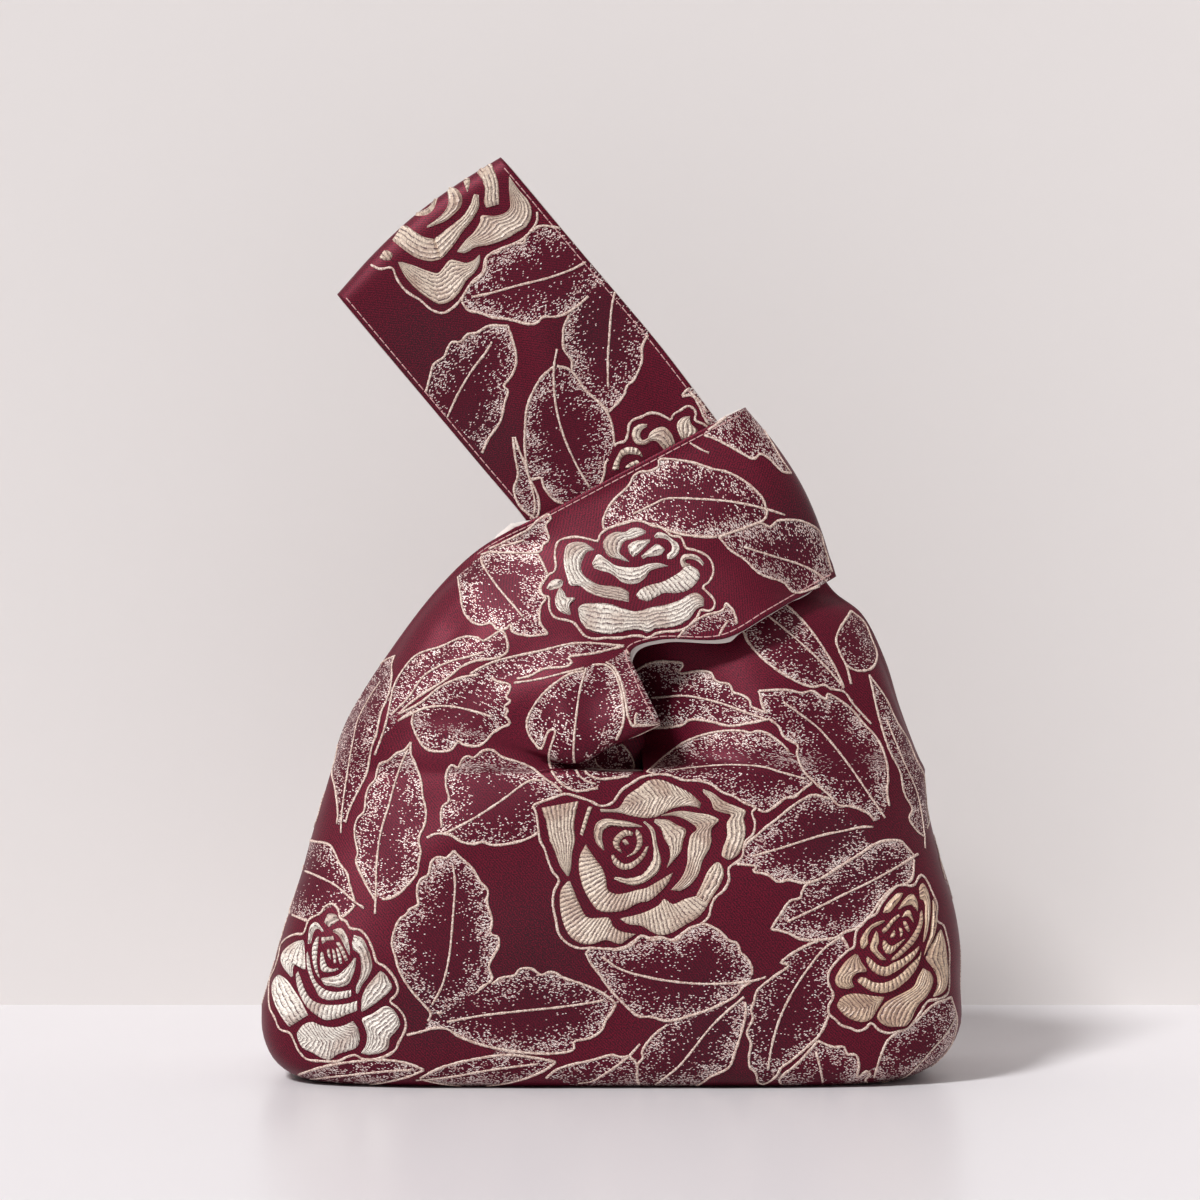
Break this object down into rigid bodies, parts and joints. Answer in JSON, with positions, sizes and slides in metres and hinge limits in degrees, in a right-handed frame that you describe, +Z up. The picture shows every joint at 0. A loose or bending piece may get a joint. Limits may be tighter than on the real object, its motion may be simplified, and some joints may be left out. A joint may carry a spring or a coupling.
{
  "type": "japanese knot bag",
  "caption": "Soft brocade wrist bag with a boxed base; its long handle passes through its short handle and draws the mouth shut.",
  "frame": {"origin": "middle of the base, on the surface that the bag stands on", "axes": "+Z up from the base to the handle's top, +X towards the long handle's shoulder, +Y from the front panel to the back panel"},
  "size_m": [0.256, 0.104, 0.3375],
  "materials": {
    "brocade": "satin ground with raised woven roses and leaves",
    "lining": "plain weave, matte"
  },
  "bodies": {
    "root": {"front_panel": "brocade", "back_panel": "brocade", "front_lining": "lining", "back_lining": "lining"}
  },
  "joints": []
}
